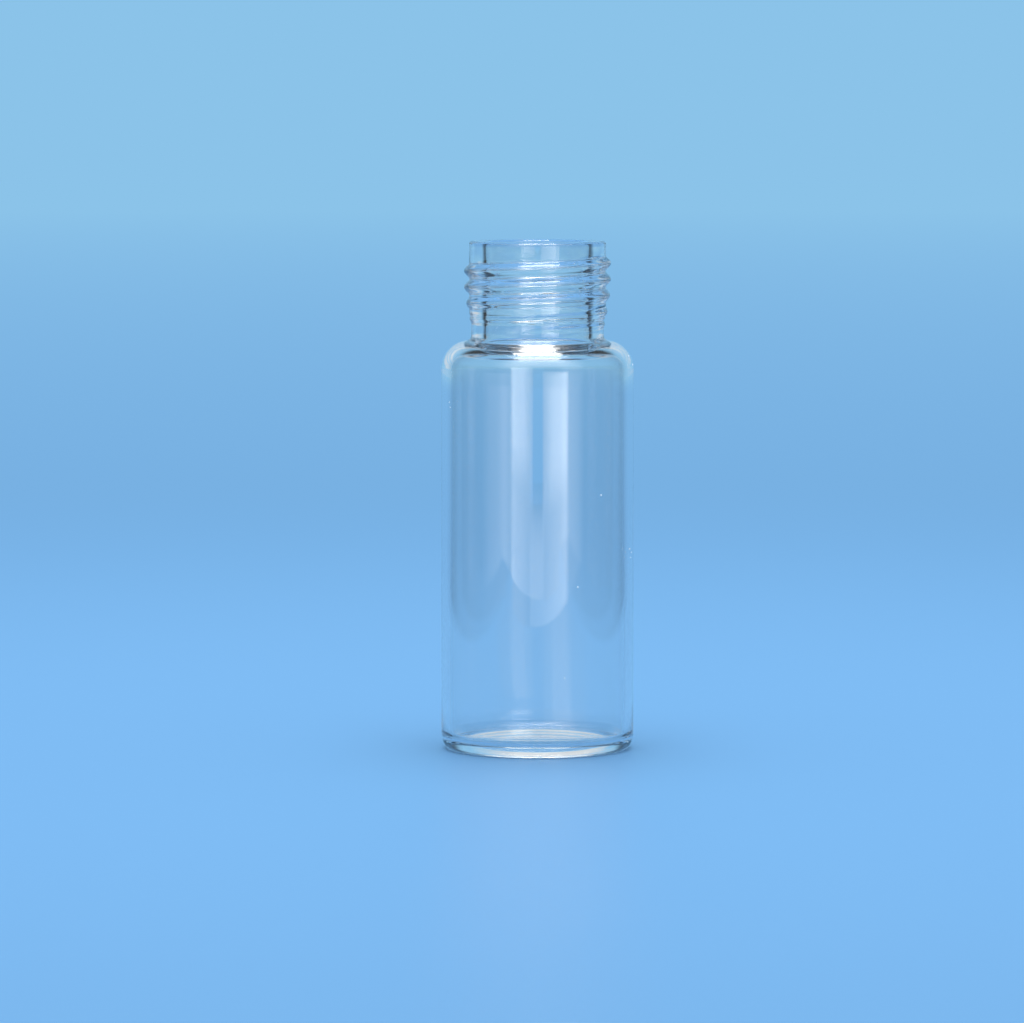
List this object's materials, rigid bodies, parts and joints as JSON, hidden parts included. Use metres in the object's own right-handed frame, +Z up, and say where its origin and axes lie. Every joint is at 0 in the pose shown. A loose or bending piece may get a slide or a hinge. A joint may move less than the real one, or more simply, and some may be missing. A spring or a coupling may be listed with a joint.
{
  "type": "glass sample vial",
  "caption": "Clear round glass vial for small liquid samples, with a curved shoulder, an open neck and a coarse external screw thread.",
  "frame": {"origin": "centre of the standing ring, on the vial's axis", "axes": "+Z up along the vial's axis towards the open rim; the thread starts 40 degrees round from +X towards +Y"},
  "size_m": [0.012, 0.012, 0.0317],
  "materials": {
    "clear_glass": "clear borosilicate glass, smooth and fire-polished"
  },
  "bodies": {
    "root": {"vial": "clear_glass"}
  },
  "joints": []
}
